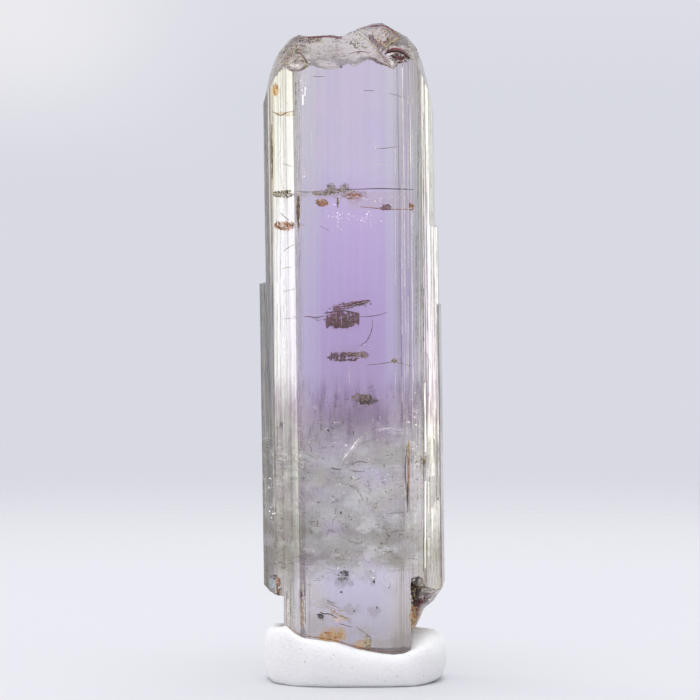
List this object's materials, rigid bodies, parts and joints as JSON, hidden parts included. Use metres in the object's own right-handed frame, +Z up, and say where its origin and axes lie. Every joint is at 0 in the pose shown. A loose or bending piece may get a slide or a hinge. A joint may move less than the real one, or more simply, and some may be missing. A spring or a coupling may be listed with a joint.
{
  "type": "tanzanite crystal on mounting putty",
  "caption": "Flattened, striated, see-through violet crystal with a broken top, standing upright in a small flat-bottomed pad of white mounting putty.",
  "frame": {"origin": "on the resting surface, at the middle of the object's base outline", "axes": "+Z up along the crystal's length, -Y out of its broad front face, +X to the right of someone looking at that face"},
  "size_m": [0.0104, 0.009, 0.0365],
  "materials": {
    "tanzanite": "clear to cloudy natural gem, violet in the middle, glassy with fine lengthwise striations",
    "white_putty": "soft matt white mineral putty with a few specks of dust"
  },
  "bodies": {
    "root": {"crystal": "tanzanite", "mounting_putty": "white_putty"}
  },
  "joints": []
}
